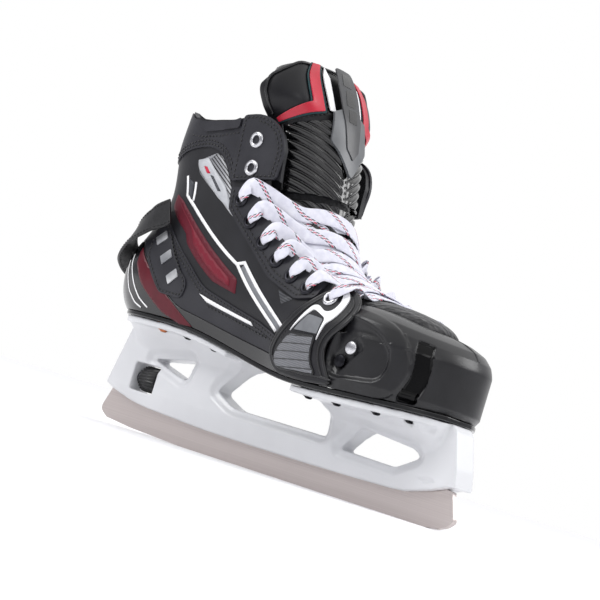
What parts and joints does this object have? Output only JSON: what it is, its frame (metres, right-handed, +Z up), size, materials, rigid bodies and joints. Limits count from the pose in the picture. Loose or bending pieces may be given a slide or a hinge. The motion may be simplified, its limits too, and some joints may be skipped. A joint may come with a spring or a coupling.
{
  "type": "ice hockey goalie skate",
  "caption": "Low goalie ice skate: stiff padded boot with moulded toe cap, tall tongue and lace, on a wide plastic holder with a short flat steel runner.",
  "frame": {"origin": "middle of the flat of the runner's ice edge, on the skate's mid plane", "axes": "+X to the toe, +Y to the skate's left, +Z up from the ice"},
  "size_m": [0.3091, 0.1052, 0.255],
  "materials": {
    "boot_synthetic": "matte moulded synthetic leather",
    "outsole_composite": "gloss composite",
    "lining_felt": "brushed lining",
    "toe_cap_plastic": "satin moulded",
    "panel_leather": "matte stitched synthetic leather",
    "wing_mesh": "ribbed mesh",
    "red_trim": "satin",
    "silver_metal": "nickel plated",
    "black_metal": "black oxide",
    "copper": "copper",
    "tongue_felt": "felt",
    "tongue_leather": "smooth synthetic leather",
    "rib_rubber": "gloss moulded ribs",
    "shield_plastic": "moulded",
    "lace_fabric": "flat woven lace",
    "holder_nylon": "moulded nylon",
    "runner_steel": "brushed stainless steel",
    "lock_plastic": "knurled"
  },
  "bodies": {
    "boot": {"boot_shell": "boot_synthetic", "outsole": "outsole_composite", "footbed": "lining_felt", "ankle_liner": "lining_felt", "toe_cap": "toe_cap_plastic", "cuff_panel_right": "panel_leather", "facing_right": "panel_leather", "toe_wing_right": "wing_mesh", "heel_panel_right": "panel_leather", "toe_rivet_right": "silver_metal", "eyelet_1_right": "silver_metal", "eyelet_2_right": "silver_metal", "eyelet_3_right": "black_metal", "eyelet_4_right": "black_metal", "eyelet_5_right": "black_metal", "eyelet_6_right": "black_metal", "eyelet_7_right": "black_metal", "eyelet_8_right": "black_metal", "eyelet_9_right": "silver_metal", "rivet_1_right": "copper", "rivet_2_right": "black_metal", "rivet_3_right": "black_metal", "rivet_4_right": "black_metal", "rivet_5_right": "black_metal", "rivet_6_right": "black_metal", "rivet_7_right": "black_metal", "cuff_panel_left": "panel_leather", "facing_left": "panel_leather", "toe_wing_left": "wing_mesh", "heel_panel_left": "panel_leather", "toe_rivet_left": "silver_metal", "eyelet_1_left": "silver_metal", "eyelet_2_left": "silver_metal", "eyelet_3_left": "black_metal", "eyelet_4_left": "black_metal", "eyelet_5_left": "black_metal", "eyelet_6_left": "black_metal", "eyelet_7_left": "black_metal", "eyelet_8_left": "black_metal", "eyelet_9_left": "silver_metal", "rivet_1_left": "copper", "rivet_2_left": "black_metal", "rivet_3_left": "black_metal", "rivet_4_left": "black_metal", "rivet_5_left": "black_metal", "rivet_6_left": "black_metal", "rivet_7_left": "black_metal", "tongue_lower": "tongue_felt", "back_strap": "panel_leather", "lace": "lace_fabric", "holder": "holder_nylon"},
    "runner": {"runner": "runner_steel"},
    "lock_wheel": {"lock_wheel": "lock_plastic"},
    "lock_bolt": {"lock_bolt": "silver_metal"},
    "tongue_top": {"tongue_upper": "tongue_leather", "tongue_rib_panel": "rib_rubber", "tongue_shield": "shield_plastic", "tongue_trim_right": "red_trim", "tongue_trim_left": "red_trim"}
  },
  "joints": [
    {"name": "lock_wheel_turn", "type": "hinge", "parent": "boot", "child": "lock_wheel", "pos_m": [-0.116, 0, 0.0348], "axis": [1, 0, 0], "range_deg": [0, 540]},
    {"name": "lock_bolt_slide", "type": "slide", "parent": "boot", "child": "lock_bolt", "axis": [-1, 0, 0], "range_m": [0, 0.006]},
    {"name": "runner_drop", "type": "hinge", "parent": "boot", "child": "runner", "pos_m": [0.127, 0, 0.031], "axis": [0, -1, 0], "range_deg": [0, 0.6]},
    {"name": "tongue_flex", "type": "hinge", "parent": "boot", "child": "tongue_top", "pos_m": [-0.006, 0, 0.169], "axis": [0, 1, 0], "range_deg": [-4, 30], "stiffness_Nm_per_rad": 2}
  ],
  "couplings": [
    {"joint": "lock_wheel_turn", "follows": "runner_drop", "ratio": 900},
    {"joint": "lock_bolt_slide", "follows": "runner_drop", "m_per_rad": 0.57296}
  ]
}
